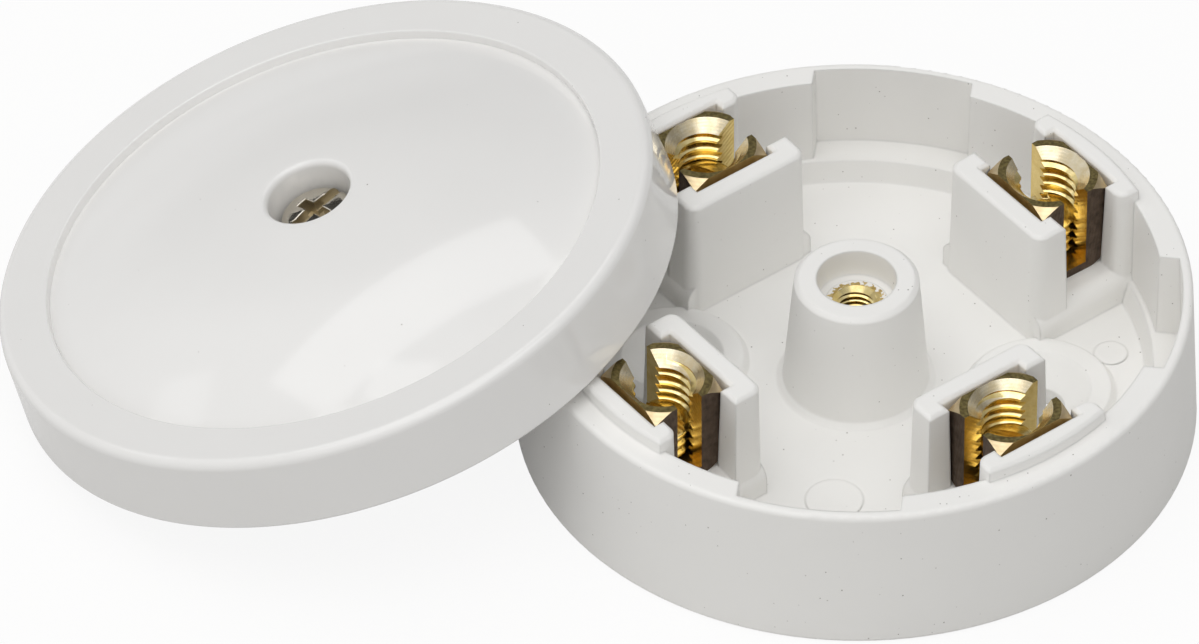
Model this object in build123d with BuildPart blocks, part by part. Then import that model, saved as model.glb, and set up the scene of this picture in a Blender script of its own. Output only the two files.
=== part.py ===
from build123d import *
import os
from math import atan2, cos, radians, sin, sqrt, tan

# A round four-terminal junction box, open, with its cover leaning against it.
# Millimetres, +Z up. The origin is the centre of the box's back face, at the foot.
# The knock-outs lie on X and Y, the terminals between them, and the cover leans from -X.

# Box moulding: outer form
foot_radius = 30.15
rim_inset = 0.65
rim_height = 14.3
rim_edge_radius = 0.5
foot_edge_chamfer = 0.3
floor_height = 3.4
floor_thickness = 2.0
recess_inset = 3.15
centre_pad_radius = 5.6

# Box wall and its four knock-outs
wall_thickness = 2.6
wall_draft = 1.0
knockout_skin = 0.9
knockout_width = 14.2
ledge_height = 5.4
ledge_width = 0.7
ledge_step = 0.6

# Terminal pockets, measured at their tops along the pocket's own radius and tangent. The spans
# are from the terminal's axis to the brackets.
terminal_count = 4
pocket_draft = 1.2
lip_height = 1.3
lip_inset = 2.1
inner_bracket_span = 4.15
inner_bracket_width = 2.05
outer_bracket_span = 4.1
pocket_half_length = 6.4
flange_reach = 1.0
flange_half_gap = 4.25
pocket_corner_radius = 1.1
pocket_edge_chamfer = 0.3
sill_height = 6.45
sill_half_length = 6.9
sill_edge_radius = 1.6

# Centre boss and its brass insert
boss_top_height = 15.2
boss_top_radius = 5.5
boss_foot_radius = 6.5
boss_bore_radius = 3.53
boss_edge_chamfer = 0.4
boss_foot_chamfer = 0.5
insert_radius = 2.75
insert_length = 8.0
insert_recess = 2.8
insert_thread_radius = 1.45
insert_fit = 0.02

# Fixing holes for the wall screws
fixing_reach = 16.3
fixing_hole_radius = 2.25
fixing_sink_radius = 4.55
fixing_sink_angle = 90
fixing_pad_radius = 6.8
fixing_pad_rise = 0.7
fixing_pad_slope = 0.5

# Ejector marks on the floor
ejector_rise = 0.12
ejector_marks = (((0, -15.9), 2.55), ((22.0, 5.8), 1.5))

# Brass terminals: a U-shaped block, slotted along its tangent, its top turned to a crown round
# the threaded hole, with a countersink inside the crown and a slope down to the corners outside
terminal_wall_gap = 5.4
terminal_turn = -1.0
terminal_width = 7.3
terminal_length = 8.0
terminal_height = 9.2
terminal_foot_radius = 2.0
slot_width = 2.6
slot_floor = 0.85
thread_radius = 2.75
sink_radius = 3.7
sink_angle = 90
crown_radius = 4.43
crown_slope = 40

# Grub screws in the terminals, each at the height and turn where it was left
grub_clearance = 0.05
grub_length = 3.4
grub_dome = 0.7
grub_chamfer = 0.4
grub_slot_width = 1.1
grub_slot_depth = 1.2
grub_depths = (4.1, 4.6, 4.7, 4.0)
grub_turns = (20, 65, 100, 35)

# Cover
cover_overhang = 0.45
cover_top_inset = 0.4
cover_skirt_height = 7.4
cover_edge_radius = 0.8
cover_wall = 2.0
skirt_thickness = 2.9
skirt_draft = 0.2
ring_width = 4.4
step_width = 0.9
step_depth = 0.6
dome_rise = 4.4
well_radius = 3.8
well_depth = 5.4
well_edge_chamfer = 0.25
pillar_radius = 5.3
pillar_foot_radius = 4.7
pillar_clearance = 0.1
screw_hole_radius = 1.9

# Where the cover lies: its edge on the floor this far from the box's wall, leaning on two lips
cover_foot_gap = 44.35
cover_seat_gap = 0.25

# Cover screw and the washer that keeps it in the cover
screw_radius = 1.7
screw_head_radius = 3.2
screw_head_height = 2.3
screw_head_edge = 0.6
screw_length = 12.6
screw_tip_chamfer = 0.5
screw_seat_gap = 0.05
recess_slot_width = 0.9
recess_slot_depth = 0.9
recess_cross_width = 1.0
recess_cross_length = 3.6
recess_cross_depth = 1.5
washer_radius = 3.1
washer_thickness = 0.8
washer_bore_clearance = 0.02

# Heights and radii worked out from the sizes above
rim_radius = foot_radius - rim_inset
recess_radius = foot_radius - recess_inset
wall_inner_radius = rim_radius - wall_thickness
ledge_inner_radius = wall_inner_radius - ledge_width
lip_radius = rim_radius - lip_inset
terminal_reach = wall_inner_radius - terminal_wall_gap
pocket_inner_far = terminal_reach - inner_bracket_span
pocket_inner_near = pocket_inner_far - inner_bracket_width
pocket_outer_near = terminal_reach + outer_bracket_span
cover_radius = foot_radius + cover_overhang
cover_top_radius = cover_radius - cover_top_inset
skirt_inner_radius = cover_radius - skirt_thickness
ring_inner_radius = cover_top_radius - ring_width
step_radius = ring_inner_radius - step_width
cover_foot_distance = foot_radius + cover_foot_gap
recess_depth = floor_height - floor_thickness
wall_draft_slope = (foot_radius - rim_radius) / rim_height
wall_draft_reach = (rim_height - ledge_height) * tan(radians(wall_draft))
lip_top = rim_height + lip_height
insert_top = boss_top_height - insert_recess
insert_bottom = insert_top - insert_length
fixing_pad_top = floor_height + fixing_pad_rise
terminal_top = sill_height + terminal_height
terminal_angles = [135, 45, 225, 315]
grub_radius = thread_radius - grub_clearance
embed = floor_thickness / 2


def outer_radius_at(height):
    """Radius of the box's drafted outer wall at a height."""
    return foot_radius - wall_draft_slope * height


def section_plane(plane):
    """The plane that holds a revolved piece's half section: radius along X, height along Y."""
    return Plane(origin=plane.origin, x_dir=plane.x_dir, z_dir=-plane.y_dir)


def height_on_arc(radius, apex, arc_radius):
    """Height at a radius of a dome whose top is at apex."""
    return apex - arc_radius + sqrt(arc_radius**2 - radius**2)


def lean_of_cover():
    """Angle at which the cover, its edge on the floor, comes to rest on the two nearest lips."""
    lean = radians(15)
    for _ in range(30):
        reach = cover_foot_distance - cover_radius * cos(lean)
        contact = (reach**2 + lip_radius**2 - skirt_inner_radius**2) / (2 * reach)
        lean = atan2(lip_top + cover_seat_gap, cover_foot_distance - contact)
    return lean


# The box's shell: floor, drafted wall, and the ledge at the wall's foot
with BuildPart() as base:
    with BuildSketch(Plane.XZ) as shell_section:
        with BuildLine():
            Polyline(
                (0, 0),
                (centre_pad_radius, 0),
                (centre_pad_radius, recess_depth),
                (recess_radius, recess_depth),
                (recess_radius, 0),
                (foot_radius, 0),
                (rim_radius, rim_height),
                (wall_inner_radius, rim_height),
                (wall_inner_radius - wall_draft_reach, ledge_height),
                (ledge_inner_radius, ledge_height),
                (ledge_inner_radius - ledge_step, floor_height),
                (0, floor_height),
                close=True,
            )
        make_face()
        fillet(shell_section.vertices().sort_by_distance((rim_radius, rim_height))[0], rim_edge_radius)
        chamfer(shell_section.vertices().sort_by_distance((foot_radius, 0))[0], foot_edge_chamfer)
    revolve(axis=Axis.Z)

# What is thinned away inside each knock-out, down to its skin and to the ledge
with BuildPart() as knockout_spaces:
    with BuildSketch(Plane.XZ):
        with BuildLine():
            Polyline(
                (wall_inner_radius / 2, ledge_height),
                (outer_radius_at(ledge_height) - knockout_skin, ledge_height),
                (outer_radius_at(lip_top) - knockout_skin, lip_top),
                (wall_inner_radius / 2, lip_top),
                close=True,
            )
        make_face()
    revolve(axis=Axis.Z)
    with BuildSketch(Plane.XY.offset(lip_top)):
        Rectangle(knockout_width, 3 * rim_radius)
        Rectangle(3 * rim_radius, knockout_width)
    extrude(amount=ledge_height - lip_top, taper=wall_draft, mode=Mode.INTERSECT)

with base:
    add(knockout_spaces.part, mode=Mode.SUBTRACT)

# One terminal pocket, built along +X: a sill to carry the terminal and two brackets to hold it
with BuildPart() as pocket:
    sill_start = pocket_inner_near
    sill_end = wall_inner_radius + knockout_skin
    with BuildSketch(Plane.XY.offset(floor_height - embed)):
        with Locations(((sill_start + sill_end) / 2, 0)):
            Rectangle(sill_end - sill_start, 2 * sill_half_length)
    extrude(amount=sill_height - floor_height + embed)
    sill_ends = pocket.edges().filter_by(Axis.X).group_by(Axis.Z)[-1]
    fillet(sill_ends, sill_edge_radius)

# Inner bracket: a straight wall with a flange turned outwards at each end
with BuildPart() as inner_bracket:
    with BuildSketch(Plane.XY.offset(lip_top)) as inner_plan:
        with Locations(((pocket_inner_near + pocket_inner_far) / 2, 0)):
            Rectangle(pocket_inner_far - pocket_inner_near, 2 * pocket_half_length)
        flange_width = pocket_half_length - flange_half_gap
        flange_length = pocket_inner_far - pocket_inner_near + flange_reach
        for side in (-1, 1):
            with Locations((pocket_inner_near + flange_length / 2, side * (flange_half_gap + flange_width / 2))):
                Rectangle(flange_length, flange_width)
        fillet(inner_plan.vertices().group_by(Axis.X)[0], pocket_corner_radius)
    extrude(amount=-(lip_top - floor_height + embed), taper=-pocket_draft)
    chamfer(inner_bracket.faces().sort_by(Axis.Z)[-1].edges(), pocket_edge_chamfer)

# Outer bracket: backed by the wall, its top an arc round the box's axis that locates the cover
with BuildPart() as outer_bracket:
    with BuildSketch(Plane.XY.offset(lip_top)) as outer_plan:
        with Locations(((pocket_outer_near + rim_radius) / 2, 0)):
            Rectangle(rim_radius - pocket_outer_near, 2 * pocket_half_length)
        outer_flange_length = rim_radius - pocket_outer_near + flange_reach
        for side in (-1, 1):
            with Locations((rim_radius - outer_flange_length / 2, side * (flange_half_gap + flange_width / 2))):
                Rectangle(outer_flange_length, flange_width)
        near_side = outer_plan.vertices().group_by(Axis.X)[0].sort_by(Axis.Y)
        fillet([near_side[0], near_side[-1]], pocket_corner_radius)
    extrude(amount=-(lip_top - floor_height + embed), taper=-pocket_draft)
    chamfer(outer_bracket.faces().sort_by(Axis.Z)[-1].edges(), pocket_edge_chamfer)
    with BuildSketch(Plane.XZ) as lip_section:
        with BuildLine():
            Polyline(
                (0, floor_height - embed),
                (lip_radius + (lip_top - floor_height + embed) * tan(radians(pocket_draft)), floor_height - embed),
                (lip_radius, lip_top),
                (0, lip_top),
                close=True,
            )
        make_face()
        chamfer(lip_section.vertices().sort_by_distance((lip_radius, lip_top))[0], pocket_edge_chamfer)
    revolve(axis=Axis.Z, mode=Mode.INTERSECT)

with pocket:
    add(inner_bracket.part)
    add(outer_bracket.part)

# The centre boss, and the raised pads round the two fixing holes
with BuildPart() as boss:
    with BuildSketch(Plane.XZ) as boss_section:
        with BuildLine():
            Polyline(
                (0, floor_height - embed),
                (boss_foot_radius, floor_height - embed),
                (boss_foot_radius, floor_height),
                (boss_top_radius, boss_top_height),
                (0, boss_top_height),
                close=True,
            )
        make_face()
        chamfer(boss_section.vertices().sort_by_distance((boss_top_radius, boss_top_height))[0], boss_edge_chamfer)
    revolve(axis=Axis.Z)

with BuildPart() as fixing_pad:
    Cylinder(fixing_pad_radius, floor_height, align=(Align.CENTER, Align.CENTER, Align.MIN))
    with Locations((0, 0, floor_height)):
        Cone(
            fixing_pad_radius,
            fixing_pad_radius - fixing_pad_slope,
            fixing_pad_rise,
            align=(Align.CENTER, Align.CENTER, Align.MIN),
        )

with base:
    with PolarLocations(0, terminal_count, start_angle=45):
        add(pocket.part)
    with Locations((fixing_reach, 0), (-fixing_reach, 0)):
        add(fixing_pad.part)
    add(boss.part)
    with Locations((fixing_reach, 0, fixing_pad_top), (-fixing_reach, 0, fixing_pad_top)):
        CounterSinkHole(fixing_hole_radius, fixing_sink_radius, counter_sink_angle=fixing_sink_angle)
    with Locations((0, 0, boss_top_height)):
        Hole(boss_bore_radius, depth=insert_recess)
        Hole(insert_radius + insert_fit, depth=boss_top_height - insert_bottom)
    boss_foot = (
        base.edges()
        .filter_by(GeomType.CIRCLE)
        .filter_by(lambda edge: abs(edge.radius - boss_foot_radius) < embed / 10)
        .group_by(Axis.Z)[-1]
    )
    chamfer(boss_foot, boss_foot_chamfer)
    for (place, mark_radius) in ejector_marks:
        with BuildSketch(Plane.XY.offset(floor_height)):
            with Locations(place):
                Circle(mark_radius)
        extrude(amount=ejector_rise)

# Threaded brass insert in the boss, its thread at the minor diameter
with BuildPart() as centre_insert:
    with BuildSketch(Plane.XY.offset(insert_bottom)):
        Circle(insert_radius)
        Circle(insert_thread_radius, mode=Mode.SUBTRACT)
    extrude(amount=insert_length)
    mouth = centre_insert.edges().filter_by(GeomType.CIRCLE).group_by(Axis.Z)[-1].sort_by(SortBy.RADIUS)[0]
    chamfer(mouth, insert_thread_radius / 4)

# One brass terminal about its own axis: a U profile across the radius, sawn to length
with BuildPart() as terminal_body:
    with BuildSketch(Plane.XZ) as terminal_profile:
        with Locations((0, sill_height + terminal_height / 2)):
            Rectangle(terminal_width, terminal_height)
        fillet(terminal_profile.vertices().group_by(Axis.Y)[0], terminal_foot_radius)
        with Locations((0, terminal_top)):
            Rectangle(slot_width, 2 * (terminal_height - slot_floor), mode=Mode.SUBTRACT)
    extrude(amount=terminal_length / 2, both=True)
    with BuildSketch(Plane.XZ):
        with BuildLine():
            Polyline(
                (0, sill_height),
                (terminal_length, sill_height),
                (terminal_length, terminal_top - (terminal_length - crown_radius) * tan(radians(crown_slope))),
                (crown_radius, terminal_top),
                (0, terminal_top),
                close=True,
            )
        make_face()
    revolve(axis=Axis.Z, mode=Mode.INTERSECT)
    with Locations((0, 0, terminal_top)):
        CounterSinkHole(
            thread_radius,
            sink_radius,
            depth=terminal_height - slot_floor,
            counter_sink_angle=sink_angle,
        )

# The slotted grub screw, its head's edge at height zero
with BuildPart() as grub_screw:
    with BuildSketch(Plane.XZ):
        with BuildLine():
            Polyline(
                (0, 0),
                (0, -grub_length),
                (grub_radius - grub_chamfer, -grub_length),
                (grub_radius, -grub_length + grub_chamfer),
                (grub_radius, 0),
            )
            ThreePointArc(
                (grub_radius, 0),
                (grub_radius / 2, height_on_arc(grub_radius / 2, grub_dome, (grub_radius**2 + grub_dome**2) / (2 * grub_dome))),
                (0, grub_dome),
            )
            Line((0, grub_dome), (0, 0))
        make_face()
    revolve(axis=Axis.Z)
    with Locations((0, 0, grub_dome)):
        Box(3 * grub_radius, grub_slot_width, 2 * grub_slot_depth, mode=Mode.SUBTRACT)

# The cover, drawn about its own axis from the plane of its mouth
lean = lean_of_cover()
cover_reach = cover_foot_distance - cover_radius * cos(lean)
cover_plane = Plane(
    origin=(-cover_reach, 0, cover_radius * sin(lean)),
    x_dir=(cos(lean), 0, sin(lean)),
    z_dir=(-sin(lean), 0, cos(lean)),
)
cover_axis = Axis(cover_plane.origin, cover_plane.z_dir)
dome_foot = cover_skirt_height - step_depth
dome_apex = cover_skirt_height + dome_rise
dome_height = dome_apex - dome_foot
dome_arc_radius = (step_radius**2 + dome_height**2) / (2 * dome_height)
inner_arc_radius = dome_arc_radius - cover_wall
inner_apex = dome_apex - cover_wall
inner_step_radius = step_radius - cover_wall / 4
ring_ceiling = cover_skirt_height - cover_wall
well_floor = dome_apex - well_depth
boss_above_rim = boss_top_height - rim_height
pillar_foot = boss_above_rim + pillar_clearance

with BuildPart() as cover:
    with BuildSketch(section_plane(cover_plane)) as cover_section:
        with BuildLine():
            Polyline(
                (skirt_inner_radius, 0),
                (cover_radius, 0),
                (cover_top_radius, cover_skirt_height),
                (ring_inner_radius, cover_skirt_height),
                (step_radius, dome_foot),
            )
            ThreePointArc(
                (step_radius, dome_foot),
                (step_radius / 2, height_on_arc(step_radius / 2, dome_apex, dome_arc_radius)),
                (well_radius, height_on_arc(well_radius, dome_apex, dome_arc_radius)),
            )
            Polyline(
                (well_radius, height_on_arc(well_radius, dome_apex, dome_arc_radius)),
                (well_radius, well_floor),
                (screw_hole_radius, well_floor),
                (screw_hole_radius, pillar_foot),
                (pillar_foot_radius, pillar_foot),
                (pillar_radius, height_on_arc(pillar_radius, inner_apex, inner_arc_radius)),
            )
            ThreePointArc(
                (pillar_radius, height_on_arc(pillar_radius, inner_apex, inner_arc_radius)),
                (step_radius / 2, height_on_arc(step_radius / 2, inner_apex, inner_arc_radius)),
                (inner_step_radius, height_on_arc(inner_step_radius, inner_apex, inner_arc_radius)),
            )
            Polyline(
                (inner_step_radius, height_on_arc(inner_step_radius, inner_apex, inner_arc_radius)),
                (ring_inner_radius - cover_wall / 4, ring_ceiling),
                (skirt_inner_radius - skirt_draft, ring_ceiling),
                (skirt_inner_radius, 0),
            )
        make_face()
        top_corner = cover_section.vertices().sort_by_distance((cover_top_radius, cover_skirt_height))[0]
        fillet(top_corner, cover_edge_radius)
        well_corner = cover_section.vertices().sort_by_distance((well_radius, dome_apex))[0]
        chamfer(well_corner, well_edge_chamfer)
    revolve(axis=cover_axis)

# Cover screw: pan head with a crossed slot, its seat in the floor of the cover's well
head_seat = well_floor + screw_seat_gap
with BuildPart() as cover_screw:
    with BuildSketch(section_plane(cover_plane)) as screw_section:
        with BuildLine():
            Polyline(
                (0, head_seat - screw_length),
                (screw_radius, head_seat - screw_length),
                (screw_radius, head_seat),
                (screw_head_radius, head_seat),
                (screw_head_radius, head_seat + screw_head_height),
                (0, head_seat + screw_head_height),
                close=True,
            )
        make_face()
        head_corner = (screw_head_radius, head_seat + screw_head_height)
        chamfer(screw_section.vertices().sort_by_distance(head_corner)[0], screw_head_edge)
        tip_corner = (screw_radius, head_seat - screw_length)
        chamfer(screw_section.vertices().sort_by_distance(tip_corner)[0], screw_tip_chamfer)
    revolve(axis=cover_axis)
    with BuildSketch(cover_plane.offset(head_seat + screw_head_height)):
        Rectangle(3 * screw_head_radius, recess_slot_width)
    extrude(amount=-recess_slot_depth, mode=Mode.SUBTRACT)
    with BuildSketch(cover_plane.offset(head_seat + screw_head_height)):
        Rectangle(recess_cross_length, recess_cross_width)
        Rectangle(recess_cross_width, recess_cross_length)
    extrude(amount=-recess_cross_depth, mode=Mode.SUBTRACT)

# Washer pushed on to the screw under the cover's pillar
with BuildPart() as screw_retaining_washer:
    with BuildSketch(cover_plane.offset(pillar_foot - screw_seat_gap)):
        Circle(washer_radius)
        Circle(screw_radius + washer_bore_clearance, mode=Mode.SUBTRACT)
    extrude(amount=-washer_thickness)

# Names, places and files
pieces = {
    "base": base.part,
    "centre_insert": centre_insert.part,
    "cover": cover.part,
    "cover_screw": cover_screw.part,
    "screw_retaining_washer": screw_retaining_washer.part,
}
for number, angle in enumerate(terminal_angles, start=1):
    body_place = Location((terminal_reach, 0, 0), (0, 0, terminal_turn))
    grub_height = terminal_top - grub_depths[number - 1]
    grub_place = Location((terminal_reach, 0, grub_height), (0, 0, grub_turns[number - 1]))
    pieces[f"terminal_body_{number}"] = terminal_body.part.moved(body_place).rotate(Axis.Z, angle)
    pieces[f"terminal_screw_{number}"] = grub_screw.part.moved(grub_place).rotate(Axis.Z, angle)

os.makedirs("parts", exist_ok=True)
for name, piece in pieces.items():
    piece.label = name
    export_step(piece, f"parts/{name}.step")
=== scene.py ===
# %% [markdown]
# # A round junction box, open, with its cover leaning on it
# A white moulded box with four brass terminals in pockets, and a glossy domed cover that lies
# half on the table and half on the box. The CAD solids give every piece its place and size.
# This lesson dresses them: it adds what a lathe, a saw and a tap leave on brass, and what a
# polished or a satin mould leaves on white plastic.

from math import atan2, pi, radians, sqrt, tan

import bmesh
import bpy
from mathutils import Euler, Matrix, Vector


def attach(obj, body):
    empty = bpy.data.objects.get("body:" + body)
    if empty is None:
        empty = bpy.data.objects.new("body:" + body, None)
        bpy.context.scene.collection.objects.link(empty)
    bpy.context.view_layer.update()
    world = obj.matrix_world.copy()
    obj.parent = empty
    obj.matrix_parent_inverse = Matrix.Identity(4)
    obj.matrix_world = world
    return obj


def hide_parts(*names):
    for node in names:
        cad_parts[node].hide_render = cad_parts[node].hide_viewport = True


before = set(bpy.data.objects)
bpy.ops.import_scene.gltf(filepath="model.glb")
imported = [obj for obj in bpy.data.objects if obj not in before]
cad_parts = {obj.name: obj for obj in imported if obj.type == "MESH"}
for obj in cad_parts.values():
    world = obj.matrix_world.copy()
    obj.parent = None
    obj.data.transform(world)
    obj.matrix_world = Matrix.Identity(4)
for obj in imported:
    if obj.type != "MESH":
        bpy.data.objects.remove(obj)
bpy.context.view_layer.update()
MM = 0.001

# %% [markdown]
# ## Colours and nodes
# Colours are written as sRGB hex, the way a paint chart gives them. Shader sockets hold linear
# values, so one function turns the one into the other. A second adds any node, with its
# settings and its links. The others are the steps that come back in finish after finish, so
# each finish below reads as a short list.


# %% Colours, nodes and links
def linear(hex_code):
    """An sRGB colour such as "E8E6E2" as the linear RGBA of a shader socket."""
    channels = [int(hex_code[i : i + 2], 16) / 255 for i in (0, 2, 4)]
    return [c / 12.92 if c <= 0.04045 else ((c + 0.055) / 1.055) ** 2.4 for c in channels] + [1.0]


def add_node(tree, kind, settings=(), **inputs):
    """Adds a node. Settings are its properties; inputs are values or sockets to link.

    An input goes by its label, with _ for each space, or by its number after a _.
    """
    node = tree.nodes.new(kind)
    for name, value in dict(settings).items():
        setattr(node, name, value)
    for name, value in inputs.items():
        socket = node.inputs[int(name[1:])] if name[0] == "_" else node.inputs[name.replace("_", " ")]
        if isinstance(value, bpy.types.NodeSocket):
            tree.links.new(value, socket)
        else:
            socket.default_value = value
    return node


def new_finish(name):
    """An empty material and its Principled shader."""
    material = bpy.data.materials.new(name)
    material.use_nodes = True
    tree = material.node_tree
    tree.nodes.clear()
    shader = add_node(tree, "ShaderNodeBsdfPrincipled")
    add_node(tree, "ShaderNodeOutputMaterial", Surface=shader.outputs["BSDF"])
    return material, tree, shader


# %% Steps that come back in every finish
def maths(tree, operation, *values):
    """One step of arithmetic. Returns the socket of its result."""
    inputs = {f"_{number}": value for number, value in enumerate(values)}
    return add_node(tree, "ShaderNodeMath", {"operation": operation}, **inputs).outputs[0]


def remap(tree, value, old, new, easing="LINEAR"):
    """Stretches a value from one range, low and high, to another. Returns the result's socket."""
    ranges = {"From_Min": old[0], "From_Max": old[1], "To_Min": new[0], "To_Max": new[1]}
    settings = {"interpolation_type": easing}
    return add_node(tree, "ShaderNodeMapRange", settings, Value=value, **ranges).outputs["Result"]


def blend(tree, share, first, second):
    """Mixes two colours by a share from 0 to 1. Returns the mixed colour's socket."""
    mix = add_node(tree, "ShaderNodeMix", {"data_type": "RGBA"}, _0=share, _6=first, _7=second)
    return mix.outputs[2]


def facing(tree, direction, towards):
    """How far a direction reaches along another one: their dot product."""
    operation = {"operation": "DOT_PRODUCT"}
    dot = add_node(tree, "ShaderNodeVectorMath", operation, _0=direction, _1=towards)
    return dot.outputs["Value"]


def emboss(tree, shader, height, depth):
    """Adds a bump, its depth in mm, on top of the normals that the shader already has."""
    bump = add_node(tree, "ShaderNodeBump", Height=height, Strength=1.0, Distance=depth * MM)
    if shader.inputs["Normal"].is_linked:
        tree.links.new(shader.inputs["Normal"].links[0].from_socket, bump.inputs["Normal"])
    tree.links.new(bump.outputs["Normal"], shader.inputs["Normal"])


def bench_place(tree):
    """Where a point was on the bench, in mm, as set_down notes it on each piece."""
    settings = {"attribute_name": "bench_place"}
    return add_node(tree, "ShaderNodeAttribute", settings).outputs["Vector"]


# %% [markdown]
# ## The white mouldings
# Both mouldings are white thermoset: hard, dense and a little warm where light bounces twice.
# Such a powder is never quite clean, so there are dark specks a tenth of a millimetre across
# every few millimetres. The box comes from a satin mould and the cover from a polished one, so
# they are nearly one colour and differ in roughness.

# %% White moulding, satin and polished
speck_cell, speck_colour = 0.9, "6E6459"
speck_sizes, speck_strengths = (0.04, 0.09), (0.15, 0.7)
powder_cloud, mould_grain = 8, 0.12
thermoset_ior = 1.54


def white_moulding(name, shade, pale, roughness, texture_depth, specks_per_cell, edge_radius=0.0):
    """White thermoset from one mould. The texture's depth and the edge's radius are in mm."""
    material, tree, shader = new_finish(name)
    place = add_node(tree, "ShaderNodeTexCoord").outputs["Object"]
    # Only some of the cells hold a speck, and each speck has its own size and strength.
    cells = add_node(tree, "ShaderNodeTexVoronoi", Vector=place, Scale=1 / (speck_cell * MM))
    dice = add_node(tree, "ShaderNodeSeparateColor", Color=cells.outputs["Color"])
    held = maths(tree, "LESS_THAN", dice.outputs["Red"], specks_per_cell)
    size = remap(tree, dice.outputs["Green"], (0, 1), speck_sizes)
    inside = maths(tree, "LESS_THAN", cells.outputs["Distance"], size)
    speck = maths(tree, "MULTIPLY", held, inside)
    strength = remap(tree, dice.outputs["Blue"], (0, 1), speck_strengths)
    dark = maths(tree, "MULTIPLY", speck, strength)
    # The powder itself is faintly cloudy.
    cloud_scale = 1 / (powder_cloud * MM)
    cloud = add_node(tree, "ShaderNodeTexNoise", Vector=place, Scale=cloud_scale, Detail=2.0)
    body = blend(tree, cloud.outputs["Fac"], linear(shade), linear(pale))
    tree.links.new(blend(tree, dark, body, linear(speck_colour)), shader.inputs["Base Color"])
    if edge_radius:
        # A mould's edges are never sharp, so the normals turn round each edge.
        soft_edges = add_node(tree, "ShaderNodeBevel", {"samples": 6}, Radius=edge_radius * MM)
        tree.links.new(soft_edges.outputs["Normal"], shader.inputs["Normal"])
    grain_scale = 1 / (mould_grain * MM)
    grain = add_node(tree, "ShaderNodeTexNoise", Vector=place, Scale=grain_scale, Detail=3.0)
    emboss(tree, shader, grain.outputs["Fac"], texture_depth)
    shader.inputs["Roughness"].default_value = roughness
    shader.inputs["IOR"].default_value = thermoset_ior
    return material


satin_white = white_moulding(
    "white thermoset, satin moulded",
    shade="F4F3F0",
    pale="F8F7F4",
    roughness=0.5,
    texture_depth=0.0025,
    specks_per_cell=0.60,
    edge_radius=0.35,
)
gloss_white = white_moulding(
    "white thermoset, polished",
    shade="EEEDEB",
    pale="F1F0EE",
    roughness=0.08,
    texture_depth=0.0002,
    specks_per_cell=0.06,
)
print("mouldings:", satin_white.name, "and", gloss_white.name)

# %% [markdown]
# ## The brass finishes
# One brass, many finishes, because each face of a terminal was made another way: drawn on the
# outside, sawn at the ends, slotted by a cutter, turned on top and tapped inside. The sawn ends
# and the burred flat on top are also painted dark brown and dark olive, which is painted shade.
# The patterns follow the piece's own axis, so each piece carries its bench position, in
# millimetres, as an attribute that the finishes read.


# %% Brass with its clouds, its tool marks and its grit
def brass(name, dull, bright, roughness, lines=None, grit=0.0, grit_size=0.2, cloud_size=0.8):
    """Lines are the kind, the spacing and depth in mm, and how the pattern is turned, in degrees."""
    material, tree, shader = new_finish(name)
    bench = bench_place(tree)
    cloud = add_node(tree, "ShaderNodeTexNoise", Vector=bench, Scale=1 / cloud_size, Detail=5.0)
    tone = remap(tree, cloud.outputs["Fac"], (0.35, 0.65), (0, 1))
    tree.links.new(blend(tree, tone, linear(dull), linear(bright)), shader.inputs["Base Color"])
    if lines:
        kind, spacing, depth, turn = lines
        angles = [radians(angle) for angle in turn]
        aligned = add_node(tree, "ShaderNodeMapping", Vector=bench, Rotation=angles)
        # The wave's sine turns through 20 radians in one unit, so this scale gives the spacing.
        wave = add_node(
            tree,
            "ShaderNodeTexWave",
            {"wave_type": kind, "rings_direction": "Z", "bands_direction": "Z"},
            Vector=aligned.outputs["Vector"],
            Scale=2 * pi / (20 * spacing),
            Distortion=0.1 if kind == "RINGS" else 0.6,
            Detail=3.0,
        )
        emboss(tree, shader, wave.outputs["Fac"], depth)
    if grit:
        speckle = add_node(tree, "ShaderNodeTexNoise", Vector=bench, Scale=1 / grit_size, Detail=4.0)
        emboss(tree, shader, speckle.outputs["Fac"], grit)
    shader.inputs["Metallic"].default_value = 1.0
    shader.inputs["Roughness"].default_value = roughness
    return material


# %% Eight finishes for the terminals and their screws
upright = (0, 0, 0)
drawn_brass = brass(
    "brass, drawn", "C8AC72", "D9C08A", 0.32, ("BANDS", 0.3, 0.003, (0, 90, 0)), 0.008
)
# The sawn ends' dark brown is painted shade and a painted dark reflection, for the pocket round them;
# the saw marks are real.
shaded_sawn_brass = brass(
    "brass, sawn, painted shade", "54473D", "6C5D50", 0.55, ("BANDS", 0.35, 0.01, (0, 80, 0)), 0.02
)
slot_brass = brass(
    "brass, slotted", "DABE74", "E8D08C", 0.26, ("BANDS", 0.4, 0.008, (40, 0, 0)), 0.006
)
turned_brass = brass("brass, turned", "EAD9B2", "F3E8CC", 0.24, ("RINGS", 0.22, 0.003, upright))
sloped_brass = brass("brass, crowned", "CDB78E", "DAC7A2", 0.36, ("RINGS", 0.3, 0.005, upright))
tapped_brass = brass("brass, tapped", "E6CE88", "F2E0A6", 0.16)
# The flat top's dark olive is painted shade, a dull reflection painted into the colour; its burr grit
# and roughness are real.
shaded_crown_brass = brass(
    "brass, burred, painted shade", "665B3C", "8F8154", 0.42, grit=0.02, grit_size=0.25, cloud_size=0.3
)
screw_brass = brass(
    "brass, screw stock", "E2CA82", "F2DEA2", 0.2, ("RINGS", 0.25, 0.004, upright), 0.008
)
for finish in (drawn_brass, shaded_sawn_brass, slot_brass, turned_brass):
    print("for the blocks:", finish.name)
for finish in (sloped_brass, tapped_brass, shaded_crown_brass, screw_brass):
    print("for crown, hole and screw:", finish.name)

# %% [markdown]
# ## White flash on the insert's face
# The insert stood in the mould when the box was pressed, and a skin of white crept over its
# face from the edge. Noise is added to a value that grows with the distance from the axis, and
# where the sum passes a limit there is a fleck. Flecks are white and not metallic.

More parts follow.
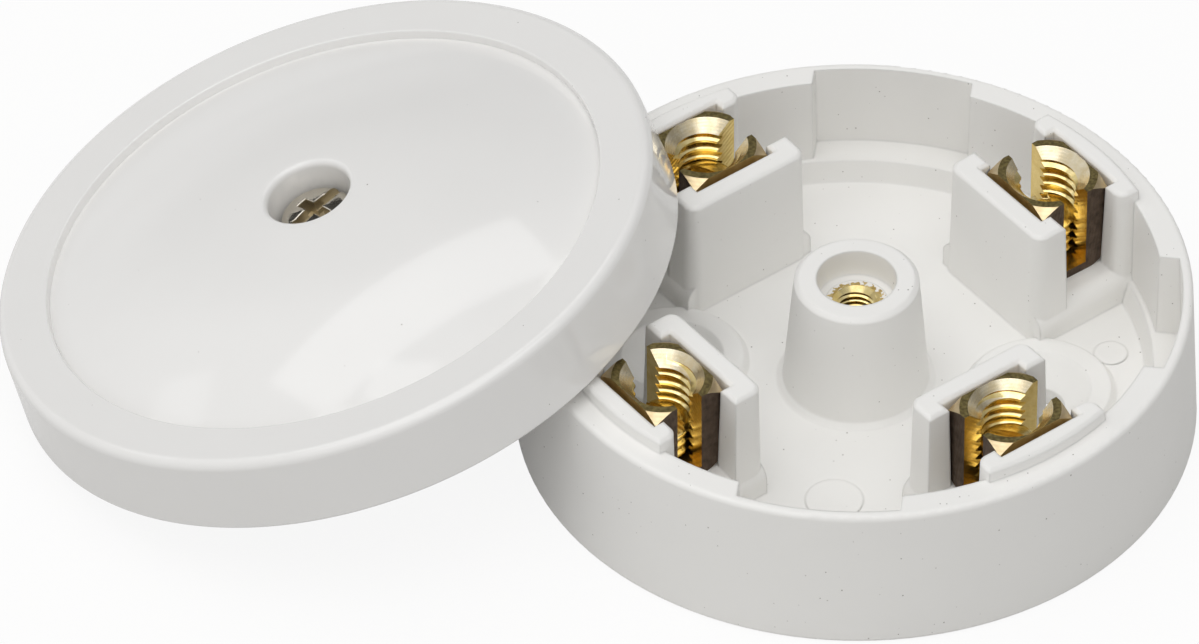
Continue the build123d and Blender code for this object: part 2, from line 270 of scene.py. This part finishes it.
# %% Faced brass with flecks of flash
flash_start, flash_end, flash_gain = 2.0, 2.75, 0.32
fleck_size, fleck_limit = 0.35, 0.7
flashed_brass = brass(
    "brass, faced, with moulding flash", "C9AE6E", "E2CB8C", 0.3, ("RINGS", 0.2, 0.002, upright)
)
tree = flashed_brass.node_tree
shader = [node for node in tree.nodes if node.type == "BSDF_PRINCIPLED"][0]
bench = bench_place(tree)
flat = add_node(tree, "ShaderNodeVectorMath", {"operation": "MULTIPLY"}, _0=bench, _1=(1, 1, 0))
reach = add_node(tree, "ShaderNodeVectorMath", {"operation": "LENGTH"}, _0=flat.outputs["Vector"])
creep = remap(tree, reach.outputs["Value"], (flash_start, flash_end), (0, flash_gain))
flecks = add_node(tree, "ShaderNodeTexNoise", Vector=bench, Scale=1 / fleck_size, Detail=3.0)
covered = maths(tree, "ADD", flecks.outputs["Fac"], creep)
flash = maths(tree, "GREATER_THAN", covered, fleck_limit)
clean_brass = shader.inputs["Base Color"].links[0].from_socket
tree.links.new(blend(tree, flash, clean_brass, linear("F3F1EC")), shader.inputs["Base Color"])
tree.links.new(maths(tree, "SUBTRACT", 1.0, flash), shader.inputs["Metallic"])
print("for the insert:", flashed_brass.name)

# %% [markdown]
# ## Nickel plate and vulcanised fibre
# The cover's screw is nickel-plated steel: a near mirror with a slightly warm grey. Deep in the
# recess the plating is thin and yellowish, and the punch left it rough. The washer that holds
# the screw in the cover is vulcanised fibre, a dull red-brown sheet with a faint grain.

# %% Nickel plate, struck nickel and fibre
dent_size, dent_depth, film_roughness = 0.8, 0.04, (0.08, 0.22)
nickel, tree, shader = new_finish("nickel-plated steel")
# Barrel plating leaves shallow dents, from one screw knocking on another.
bench = bench_place(tree)
dents = add_node(tree, "ShaderNodeTexNoise", Vector=bench, Scale=1 / dent_size, Detail=2.0)
emboss(tree, shader, dents.outputs["Fac"], dent_depth)
film = remap(tree, dents.outputs["Fac"], (0, 1), film_roughness)
tree.links.new(film, shader.inputs["Roughness"])
shader.inputs["Base Color"].default_value = linear("CFC9BD")
shader.inputs["Metallic"].default_value = 1.0

thin_nickel, tree, shader = new_finish("nickel-plated steel, struck")
shader.inputs["Base Color"].default_value = linear("C6BCA6")
shader.inputs["Metallic"].default_value = 1.0
shader.inputs["Roughness"].default_value = 0.34

fibre_length = 0.3
fibre, tree, shader = new_finish("vulcanised fibre, punched")
place = add_node(tree, "ShaderNodeTexCoord").outputs["Object"]
fibre_scale = 1 / (fibre_length * MM)
fibres = add_node(tree, "ShaderNodeTexNoise", Vector=place, Scale=fibre_scale, Detail=4.0)
tone = blend(tree, fibres.outputs["Fac"], linear("7A3A2C"), linear("96513F"))
tree.links.new(tone, shader.inputs["Base Color"])
shader.inputs["Roughness"].default_value = 0.6
print("metal and fibre:", nickel.name, "and", thin_nickel.name, "and", fibre.name)

# %% [markdown]
# ## The box
# The box is one moulding of many flat and conical faces, and its solid already has the right
# shape, so the CAD mesh stays and only takes the satin finish. The washer stays too.

# %% Finish the CAD pieces that stay
for node, finish in (("base", satin_white), ("screw_retaining_washer", fibre)):
    for material_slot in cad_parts[node].material_slots:
        material_slot.material = finish
    print(node, "takes", finish.name)

# %% [markdown]
# ## From the bench to the box
# Each new piece is made on a bench in millimetres, upright about its own axis, as a turner
# would make it. One function shades it, notes where each point was on the bench, moves the mesh
# to its place in the box and hands it to its body. The object itself stays at the origin.

# %% Set a piece down in its place
sharp_angle, bench_shift = 32, 31.7


def piece_from(mesh_or_bmesh, name, *finishes):
    """Makes an object of a bench mesh, with its normals facing out and its finishes in slots."""
    if isinstance(mesh_or_bmesh, bmesh.types.BMesh):
        bmesh.ops.recalc_face_normals(mesh_or_bmesh, faces=mesh_or_bmesh.faces)
        mesh = bpy.data.meshes.new(name)
        mesh_or_bmesh.to_mesh(mesh)
        mesh_or_bmesh.free()
    else:
        mesh = mesh_or_bmesh
    piece = bpy.data.objects.new(name, mesh)
    bpy.context.scene.collection.objects.link(piece)
    for finish in finishes:
        mesh.materials.append(finish)
    return piece


def set_down(piece, place, body, node, shade_number=0):
    """Places a bench piece, in millimetres, by a matrix, and lets it stand for a CAD node."""
    mesh = piece.data
    mesh.shade_smooth()
    mesh.set_sharp_from_angle(angle=radians(sharp_angle))
    # The number shifts the bench places along the axis, so no two pieces carry the same clouds.
    bench = mesh.attributes.new("bench_place", "FLOAT_VECTOR", "POINT")
    for point, note in zip(mesh.vertices, bench.data):
        note.vector = point.co + Vector((0, 0, bench_shift * shade_number))
    mesh.transform(Matrix.Scale(MM, 4) @ place)
    weighted = piece.modifiers.new("even normals", "WEIGHTED_NORMAL")
    weighted.keep_sharp = True
    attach(piece, body)
    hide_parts(node)
    print(piece.name, "has", len(mesh.polygons), "faces and rides on", body)


# %% [markdown]
# ## Turned shapes
# A lathe makes most of this object: the cover's mould, the screws, the insert. So most pieces
# start as a half section, a line of corners with some of them rounded, which is spun about Z.

# %% Draw a section, round it, spin it
merge_distance = 0.0005


def draw_line(bm, corners):
    """Joins (radius, height) corners by edges and returns the vertices."""
    points = [bm.verts.new((radius, 0, height)) for radius, height in corners]
    for start, end in zip(points, points[1:]):
        bm.edges.new((start, end))
    return points


def round_corner(bm, corner, reach, segments):
    """Rounds one corner of a section. Reach is how far the round starts from the corner."""
    bmesh.ops.bevel(
        bm,
        geom=[corner],
        offset=reach,
        offset_type="OFFSET",
        affect="VERTICES",
        segments=segments,
        profile=0.5,
        material=-1,
    )


def spin_full(bm, steps):
    """Spins the whole section about Z and closes its seam and poles."""
    bmesh.ops.spin(
        bm,
        geom=bm.verts[:] + bm.edges[:],
        cent=(0, 0, 0),
        axis=(0, 0, 1),
        angle=2 * pi,
        steps=steps,
        use_merge=True,
    )
    bmesh.ops.remove_doubles(bm, verts=bm.verts, dist=merge_distance)
    bmesh.ops.recalc_face_normals(bm, faces=bm.faces)


def turned_piece(name, corners, finish):
    """A piece or a tool turned from one line of sharp corners."""
    bm = bmesh.new()
    draw_line(bm, corners)
    spin_full(bm, 96)
    return piece_from(bm, name, finish)


# %% [markdown]
# ## The cover
# The cover is one pressing: a straight skirt with a rounded shoulder, a flat ring, a small step
# down, a shallow dome, and a well for the screw with a pillar under it. The dome's arcs are
# spun from one point about their own centres, so they are true arcs, as the mould's are.

# %% The cover's sizes and its place
cover_lean, cover_reach, cover_lift = 16.9302, 45.2262, 8.9109
lean = Matrix.Rotation(-radians(cover_lean), 4, "Y")
cover_place = Matrix.Translation((-cover_reach, 0, cover_lift)) @ lean
skirt_inside, skirt_outside, shoulder_radius, ring_height = 27.7, 30.6, 30.2, 7.4
ring_inside, groove_outside, groove_inside, groove_floor = 25.6, 25.52, 25.3, 6.55
dome_edge, dome_edge_height = 24.85, 6.72
dome_arc, dome_top = 64.5, 11.8
inner_arc, inner_top = 62.5, 9.8
well_radius, well_floor = 3.8, 6.4
screw_passage, pillar_foot, pillar_foot_radius, pillar_top_radius = 1.9, 1.0, 4.7, 5.3
ceiling_height, ceiling_inside, ceiling_outside, inner_dome_edge = 5.4, 25.3, 27.5, 24.4
print("cover:", 2 * skirt_outside, "mm across, leaning", cover_lean, "degrees")


# %% The cover's section
def arc_from(bm, start, centre_height, arc_radius, to_radius, steps):
    """Spins one vertex along a dome's arc to another radius and returns the last vertex."""
    now = atan2(start.co.x, start.co.z - centre_height)
    then = atan2(to_radius, sqrt(arc_radius**2 - to_radius**2))
    spun = bmesh.ops.spin(
        bm,
        geom=[start],
        cent=(0, 0, centre_height),
        axis=(0, 1, 0),
        angle=then - now,
        steps=steps,
    )
    return [part for part in spun["geom_last"] if isinstance(part, bmesh.types.BMVert)][0]


bm = bmesh.new()
skirt = draw_line(
    bm,
    [
        (skirt_inside, 0),
        (skirt_outside, 0),
        (shoulder_radius, ring_height),
        (ring_inside, ring_height),
        (groove_outside, groove_floor),
        (groove_inside, groove_floor),
        (dome_edge, dome_edge_height),
    ],
)
well_rim = arc_from(bm, skirt[-1], dome_top - dome_arc, dome_arc, well_radius, 40)
pillar_top = inner_top - inner_arc + sqrt(inner_arc**2 - pillar_top_radius**2)
well = draw_line(
    bm,
    [
        (well_radius, well_floor),
        (screw_passage, well_floor),
        (screw_passage, pillar_foot),
        (pillar_foot_radius, pillar_foot),
        (pillar_top_radius, pillar_top),
    ],
)
bm.edges.new((well_rim, well[0]))
inner_end = arc_from(bm, well[-1], inner_top - inner_arc, inner_arc, inner_dome_edge, 32)
ceiling = draw_line(bm, [(ceiling_inside, ceiling_height), (ceiling_outside, ceiling_height)])
bm.edges.new((inner_end, ceiling[0]))
bm.edges.new((ceiling[-1], skirt[0]))
# Each corner with the reach of its round, in mm, and the round's segments.
for corner, reach, segments in (
    (skirt[2], 0.9, 10),
    (well_rim, 0.75, 8),
    (skirt[3], 0.15, 4),
    (skirt[5], 0.2, 4),
    (skirt[0], 0.25, 3),
    (skirt[1], 0.3, 3),
    (well[3], 0.3, 3),
):
    round_corner(bm, corner, reach, segments)
print("section points:", len(bm.verts))

# %% Spin the cover and lean it on the box
spin_full(bm, 288)
cover = piece_from(bm, "cover_moulding", gloss_white)
set_down(cover, cover_place, "box", "cover")

# %% [markdown]
# ## Threads
# A thread is one tooth of the profile, with flanks at sixty degrees to each other and a flat
# at root and crest, carried round and up by a pitch each turn. Spin does just that when it is
# given a rise per step. Neighbouring turns share a vertex, so merging doubles closes them into
# one wall, and two flat cuts and two caps make it a solid.

# %% A solid thread
half_flank_angle, root_share = 30, 0.6


def thread_rod(root, crest, pitch, bottom, top, steps=48):
    """A threaded rod about Z as a bmesh, its ends cut square."""
    bm = bmesh.new()
    turns = int((top - bottom) / pitch) + 3
    start = bottom - pitch * 1.5
    flank = (crest - root) * tan(radians(half_flank_angle))
    # The flat at the root is a little wider than the one at the crest.
    root_end = start + (pitch - 2 * flank) * root_share
    tooth = draw_line(
        bm,
        [
            (root, start),
            (root, root_end),
            (crest, root_end + flank),
            (crest, start + pitch - flank),
            (root, start + pitch),
        ],
    )
    bmesh.ops.spin(
        bm,
        geom=tooth + bm.edges[:],
        cent=(0, 0, 0),
        axis=(0, 0, 1),
        dvec=(0, 0, pitch / steps),
        angle=2 * pi * turns,
        steps=steps * turns,
    )
    bmesh.ops.remove_doubles(bm, verts=bm.verts, dist=merge_distance)
    for height, facing_way in ((top, 1), (bottom, -1)):
        bmesh.ops.bisect_plane(
            bm,
            geom=bm.verts[:] + bm.edges[:] + bm.faces[:],
            dist=0.00001,
            plane_co=(0, 0, height),
            plane_no=(0, 0, facing_way),
            clear_outer=True,
        )
    bmesh.ops.holes_fill(bm, edges=[edge for edge in bm.edges if edge.is_boundary], sides=0)
    bmesh.ops.recalc_face_normals(bm, faces=bm.faces)
    return bm


# %% [markdown]
# ## Cutting
# A Boolean does what a machine does: one piece keeps or loses what a tool covers. Material
# transfer is on, so a face that a tool makes has the finish that such a tool leaves. The tap,
# the countersink, the saw and the punch are four short ways to call it.


# %% Tools that cut
def cut(piece, tool, operation):
    """Applies a Boolean. A face that the tool makes keeps the tool's finish."""
    boolean = piece.modifiers.new("cut", "BOOLEAN")
    boolean.operation = operation
    boolean.solver = "EXACT"
    boolean.material_mode = "TRANSFER"
    boolean.object = tool
    ready = piece.evaluated_get(bpy.context.evaluated_depsgraph_get())
    mesh = bpy.data.meshes.new_from_object(ready)
    piece.modifiers.clear()
    piece.data = mesh
    bpy.data.objects.remove(tool)
    finishes = [finish.name for finish in mesh.materials]
    print(piece.name, operation.lower(), "->", len(mesh.polygons), "faces in", finishes)


def countersink(piece, radius, top, overrun, finish):
    """Opens a hole's mouth by a square cone, which starts the overrun above the face."""
    cone = [(0, top - radius), (radius + overrun, top + overrun), (0, top + overrun)]
    cut(piece, turned_piece("sink_tool", cone, finish), "DIFFERENCE")


def tap_hole(piece, minor, major, pitch, bottom, top):
    """Cuts a threaded hole about Z."""
    tap = piece_from(thread_rod(minor, major, pitch, bottom, top), "tap", tapped_brass)
    cut(piece, tap, "DIFFERENCE")


def sink_block(piece, name, size, top, finish, taper=1.0):
    """Cuts a block, its middle at the top of the piece. Taper makes its lower end smaller."""
    bm = bmesh.new()
    bmesh.ops.create_cube(bm, size=1)
    bmesh.ops.scale(bm, vec=size, verts=bm.verts)
    lower_end = [face for face in bm.faces if face.normal.z < -0.9][0]
    bmesh.ops.scale(bm, vec=(taper, taper, 1), verts=lower_end.verts)
    bmesh.ops.translate(bm, vec=(0, 0, top), verts=bm.verts)
    cut(piece, piece_from(bm, name, finish), "DIFFERENCE")


# %% [markdown]
# ## One terminal, made as the works made it
# A brass bar is drawn, slotted and sawn to length. Then the piece is chucked, its corners are
# turned down to a crown, and it is countersunk and tapped. The model follows that order: a
# profile is extruded, a turned shape is kept of it, and a countersink and a tap go through.

# %% The sawn and slotted block
terminal_foot, terminal_height = 6.45, 9.2
half_width, half_length, half_slot, slot_floor = 3.65, 4.0, 1.3, 0.85
foot_rounding, near = 2.0, 0.01
bm = bmesh.new()
outline = [
    (-half_slot, slot_floor),
    (-half_slot, terminal_height),
    (-half_width, terminal_height),
    (-half_width, 0),
    (half_width, 0),
    (half_width, terminal_height),
    (half_slot, terminal_height),
    (half_slot, slot_floor),
]
profile = [bm.verts.new((x, -half_length, z)) for x, z in outline]
bm.faces.new(profile)
for corner in (profile[3], profile[4]):
    round_corner(bm, corner, foot_rounding, 12)
bar = bmesh.ops.extrude_face_region(bm, geom=bm.faces[:])
drawn_out = [part for part in bar["geom"] if isinstance(part, bmesh.types.BMVert)]
bmesh.ops.translate(bm, verts=drawn_out, vec=(0, 2 * half_length, 0))
bmesh.ops.recalc_face_normals(bm, faces=bm.faces)
block_finishes = [drawn_brass, shaded_sawn_brass, slot_brass, shaded_crown_brass]
# Each face takes the finish its tool leaves; the sawn ends and the flat top take finishes darkened
# with painted shade.
for face in bm.faces:
    middle = face.calc_center_median()
    if abs(face.normal.y) > 0.9:
        finish = shaded_sawn_brass
    elif abs(middle.x) < half_slot + near and middle.z > slot_floor - near:
        finish = slot_brass
    elif face.normal.z > 0.9:
        finish = shaded_crown_brass
    else:
        finish = drawn_brass
    face.material_index = block_finishes.index(finish)
terminal = piece_from(bm, "terminal_pattern", *block_finishes)
print("block faces:", len(terminal.data.polygons))

# %% The turned crown
crown_radius, crown_slope, chuck_radius = 4.43, 40, 8
crown_fall = (chuck_radius - crown_radius) * tan(radians(crown_slope))
crown = turned_piece(
    "crown_tool",
    [
        (0, -1),
        (chuck_radius, -1),
        (chuck_radius, terminal_height - crown_fall),
        (crown_radius, terminal_height),
        (0, terminal_height),
    ],
    sloped_brass,
)
cut(terminal, crown, "INTERSECT")

# %% The countersink and the tapped hole
sink_radius, hole_minor, hole_major, hole_pitch = 3.7, 2.5, 3.02, 1.0
countersink(terminal, sink_radius, terminal_height, 0.5, turned_brass)
tap_hole(terminal, hole_minor, hole_major, hole_pitch, slot_floor, terminal_height + 1)

# %% [markdown]
# ## The terminal screws
# Each is a slotted grub screw with a domed end. A threaded rod is cut to a turned body, then
# slotted. It stays a hair smaller than the hole, so it can slide without touching.

# %% One grub screw
grub_length, grub_dome, grub_radius, grub_root = 3.4, 0.7, 2.47, 2.05
# The body is a little wider than the thread, so it shapes only the two ends.
body_radius, dome_edge_radius = grub_radius + 0.1, grub_radius - 0.14
tip_radius, tip_length = grub_radius - 0.35, 0.45
bm = bmesh.new()
body_line = draw_line(
    bm,
    [
        (0, -grub_length),
        (tip_radius, -grub_length),
        (body_radius, -grub_length + tip_length),
        (body_radius, -0.02),
        (dome_edge_radius, 0.05),
    ],
)
dome_arc_radius = (grub_radius**2 + grub_dome**2) / (2 * grub_dome)
dome_centre = grub_dome - dome_arc_radius
dome_start = bm.verts.new((dome_edge_radius, 0, 0))
dome_start.co.z = dome_centre + sqrt(dome_arc_radius**2 - dome_start.co.x**2)
bm.edges.new((body_line[-1], dome_start))
arc_from(bm, dome_start, dome_centre, dome_arc_radius, 0, 10)
spin_full(bm, 64)
rod = thread_rod(grub_root, grub_radius, hole_pitch, -grub_length - 0.5, grub_dome + 0.5)
grub = piece_from(rod, "grub_pattern", screw_brass)
cut(grub, piece_from(bm, "grub_body", screw_brass), "INTERSECT")
sink_block(grub, "saw", (8, 1.1, 2.4), grub_dome, slot_brass)

# %% [markdown]
# ## Four terminals in the box
# The terminals stand on one circle, a degree off square to it, and each screw was left at its
# own height and turn.

# %% Set the terminals and their screws down
terminal_reach, terminal_turn = 21.5, -1.0
stand = Matrix.Translation((0, 0, terminal_foot))
stand = stand @ Matrix.Rotation(radians(terminal_turn), 4, "Z")
# Each terminal's angle round the box, and its screw's depth below the top, and turn.
settings = ((135, 4.1, 20), (45, 4.6, 65), (225, 4.7, 100), (315, 4.0, 35))
for number, (angle, depth, turn) in enumerate(settings, start=1):
    reach_out = Matrix.Translation((terminal_reach, 0, 0))
    round_box = Matrix.Rotation(radians(angle), 4, "Z") @ reach_out
    block = piece_from(terminal.data.copy(), f"terminal_block_{number}")
    set_down(block, round_box @ stand, "box", f"terminal_body_{number}", number)
    screw = piece_from(grub.data.copy(), f"terminal_grub_{number}")
    left_at = Matrix.Translation((0, 0, terminal_foot + terminal_height - depth))
    left_at = left_at @ Matrix.Rotation(radians(turn), 4, "Z")
    screw_node = f"terminal_screw_{number}"
    set_down(screw, round_box @ left_at, screw_node, screw_node, number + 4)
for pattern in (terminal, grub):
    bpy.data.objects.remove(pattern)

# %% [markdown]
# ## The brass insert in the boss
# The insert is a plain brass bush, tapped, and moulded into the boss with its face low in the
# bore. Its mouth is countersunk a little, and the first turns of its thread catch the light.

# %% The insert
insert_foot, insert_length, insert_radius = 4.4, 8.0, 2.75
mouth_radius, bush_minor, bush_major, bush_pitch = 2.15, 1.62, 1.98, 0.55
bush = [(0, 0), (insert_radius, 0), (insert_radius, insert_length), (0, insert_length)]
insert = turned_piece("insert_bush", bush, flashed_brass)
countersink(insert, mouth_radius, insert_length, 0.1, tapped_brass)
tap_hole(insert, bush_minor, bush_major, bush_pitch, -0.5, insert_length + 0.5)
set_down(insert, Matrix.Translation((0, 0, insert_foot)), "box", "centre_insert", 9)

# %% [markdown]
# ## The cover screw
# A nickel-plated pan-head screw with a slot and a cross in one recess, so either driver fits.
# The head is turned, the thread is rolled below it, and the recess is struck into the top.

# %% Head and thread
head_seat, head_radius, head_height, head_fall = 6.45, 3.3, 3.25, 0.3
screw_root, screw_crest, screw_pitch, screw_end, neck = 1.42, 1.7, 0.6, -6.15, 0.5
bm = bmesh.new()
head_line = draw_line(
    bm,
    [
        (0, -neck),
        (screw_crest, -neck),
        (screw_crest, 0),
        (head_radius, 0),
        (head_radius, head_height - head_fall),
        (0, head_height),
    ],
)
round_corner(bm, head_line[4], 0.8, 10)
round_corner(bm, head_line[3], 0.2, 3)
spin_full(bm, 96)
screw = piece_from(bm, "cover_screw_nickel", nickel)
rod = thread_rod(screw_root, screw_crest, screw_pitch, screw_end - head_seat, -0.3, 32)
cut(screw, piece_from(rod, "screw_thread", nickel), "UNION")

# %% The recess
sink_block(screw, "saw", (8, 1.15, 2.2), head_height, thin_nickel)
# The punch tapers, so the cross's arms are shorter and narrower at the bottom.
for arm_length, arm_width in ((4.2, 1.2), (1.2, 4.2)):
    sink_block(screw, "punch", (arm_length, arm_width, 3.0), head_height, thin_nickel, 0.7)
# Plating and wear round the edges of the recess, so they catch the light as thin slivers.
bm = bmesh.new()
bm.from_mesh(screw.data)
lands = [
    edge
    for edge in bm.edges
    if edge.is_manifold
    and edge.calc_face_angle() > radians(35)
    and min(vert.co.z for vert in edge.verts) > head_height - 0.2
]
bmesh.ops.bevel(
    bm,
    geom=lands,
    offset=0.12,
    offset_type="OFFSET",
    affect="EDGES",
    segments=3,
    profile=0.5,
    material=-1,
)
bm.to_mesh(screw.data)
bm.free()
print("rounded edges round the recess:", len(lands))

# %% Set the screw down in its well
screw_turn = 52
seat = Matrix.Translation((0, 0, head_seat)) @ Matrix.Rotation(radians(screw_turn), 4, "Z")
set_down(screw, cover_place @ seat, "cover_screw", "cover_screw", 10)

# %% [markdown]
# ## The camera
# The photograph was taken from above and in front with a long lens. The frame is 1199 by 644,
# and the lens is fitted to its width, so the same view comes out at any size.

# %% The camera at the photograph's angle
camera = bpy.data.objects.new("camera", bpy.data.cameras.new("camera"))
bpy.context.scene.collection.objects.link(camera)
camera.location = (0.086858, -0.768301, 0.727448)
tilt, roll, pan = 47.14058302, 0.46291886, 7.69281931
camera.rotation_euler = Euler([radians(angle) for angle in (tilt, roll, pan)], "XYZ")
camera.data.sensor_fit = "HORIZONTAL"
camera.data.sensor_width = 36
camera.data.lens = 360.3
camera.data.clip_start = 0.05
bpy.context.scene.camera = camera
print("camera looks along", [round(c, 3) for c in camera.matrix_basis.to_3x3() @ Vector((0, 0, -1))])

# %% [markdown]
# ## The table
# The object was photographed on white. The table is a pale grey, and for the camera most of it
# glows, so the ground goes white and a soft shadow still lies on it. Polished faces see a
# dimmer table than the camera does. The Standard view shows each colour about as it is written.

# %% Floor
camera_share, mirror_share, table_glow, table_radius = 0.85, 0.45, 1.06, 2.5
bpy.context.scene.view_settings.view_transform = "Standard"
floor_finish, tree, shader = new_finish("white table")
shader.inputs["Base Color"].default_value = linear("CAC9C7")
shader.inputs["Roughness"].default_value = 0.8
path = add_node(tree, "ShaderNodeLightPath")
mirrored = maths(tree, "MULTIPLY", path.outputs["Is Glossy Ray"], mirror_share)
share = maths(tree, "MULTIPLY_ADD", path.outputs["Is Camera Ray"], camera_share, mirrored)
white = add_node(tree, "ShaderNodeEmission", Color=linear("FFFFFF"), Strength=table_glow)
lit, glowing = shader.outputs["BSDF"], white.outputs["Emission"]
mixed = add_node(tree, "ShaderNodeMixShader", _0=share, _1=lit, _2=glowing)
output = [node for node in tree.nodes if node.type == "OUTPUT_MATERIAL"][0]
tree.links.new(mixed.outputs["Shader"], output.inputs["Surface"])
bm = bmesh.new()
bmesh.ops.create_circle(bm, cap_ends=True, segments=96, radius=table_radius)
floor = piece_from(bm, "table_top", floor_finish)
print("table radius:", table_radius, "m")

# %% [markdown]
# ## The tent
# A bright tent stood round the object and left soft grey shade where two walls face each other.
# The world shader paints it: one brightness for each direction, worked out from the dot product
# with a few chosen directions. The dome and the brass show it, so its bright and dark parts
# matter more for them than the lamps do.

# %% World
world = bpy.data.worlds.new("white tent")
bpy.context.scene.world = world
world.use_nodes = True
tree = world.node_tree
tree.nodes.clear()
path = add_node(tree, "ShaderNodeLightPath")
direction = add_node(tree, "ShaderNodeTexCoord").outputs["Generated"]
smooth = "SMOOTHSTEP"
# The tent is bright overhead, in front and on the left, and dim low down behind and on the
# right, which gives the brass its dark side. The brightness climbs along a leaning direction.
leaning = facing(tree, direction, (-0.42, -0.25, 0.9))
climb = remap(tree, leaning, (-0.2, 0.75), (0.22, 0.7), smooth)
# Near the table its wall catches the table's own light.
parts = add_node(tree, "ShaderNodeSeparateXYZ", Vector=direction)
level = maths(tree, "ABSOLUTE", parts.outputs["Z"])
glow = remap(tree, level, (0.0, 0.3), (0.32, 0.0), smooth)
wall = maths(tree, "ADD", climb, glow)
# The tent's opening, half way up behind on the left, shows the dark room.
towards_opening = facing(tree, direction, Vector((-0.4, 0.72, 0.53)).normalized())
opening = remap(tree, towards_opening, (0.88, 0.97), (1.0, 0.1), smooth)
open_wall = maths(tree, "MULTIPLY", wall, opening)
# A small diffuser stands round the lens. It lights little, but metal that faces it shines.
towards_lens = facing(tree, direction, camera.location.normalized())
diffuser = remap(tree, towards_lens, (0.84, 0.95), (0.0, 0.65), smooth)
shine = maths(tree, "MULTIPLY", diffuser, path.outputs["Is Glossy Ray"])
all_round = maths(tree, "ADD", open_wall, shine)
# The camera itself sees plain white.
tent = add_node(tree, "ShaderNodeBackground", Color=linear("FFFFFF"), Strength=all_round)
plain = add_node(tree, "ShaderNodeBackground", Color=linear("FFFFFF"), Strength=1.0)
choice = add_node(
    tree,
    "ShaderNodeMixShader",
    _0=path.outputs["Is Camera Ray"],
    _1=tent.outputs["Background"],
    _2=plain.outputs["Background"],
)
add_node(tree, "ShaderNodeOutputWorld", Surface=choice.outputs["Shader"])
print("world:", world.name, "with", len(tree.nodes), "nodes")

# %% [markdown]
# ## The lamps
# Three soft boxes add what the tent can't: a strip for the long highlight across the dome, a
# low box for a faint side light, and a large panel overhead for the soft shadow.

# %% Soft boxes
tent_middle = Vector((-0.02, 0, 0.01))


def lamp(name, direction, distance, size, strength):
    """A soft box, direction from what it lights, size in metres, strength in watts."""
    light = bpy.data.lights.new(name, "AREA")
    light.shape = "RECTANGLE"
    light.size, light.size_y = size
    light.energy = strength
    holder = bpy.data.objects.new(name, light)
    bpy.context.scene.collection.objects.link(holder)
    heading = Vector(direction).normalized()
    holder.location = tent_middle + heading * distance
    holder.rotation_euler = heading.to_track_quat("Z", "Y").to_euler()
    print(name, "at", [round(c, 2) for c in holder.location])


lamp("strip box, behind on the left", (-0.324, 0.357, 0.876), 1.2, (0.88, 0.28), 1.1)
lamp("side box, low on the left", (-0.79, 0.17, 0.6), 1.4, (0.3, 0.2), 0.14)
lamp("key panel, in front and overhead", (-0.04, -0.22, 0.97), 1.6, (1.5, 1.2), 7.8)

# %% Update the scene and finish
bpy.context.view_layer.update()
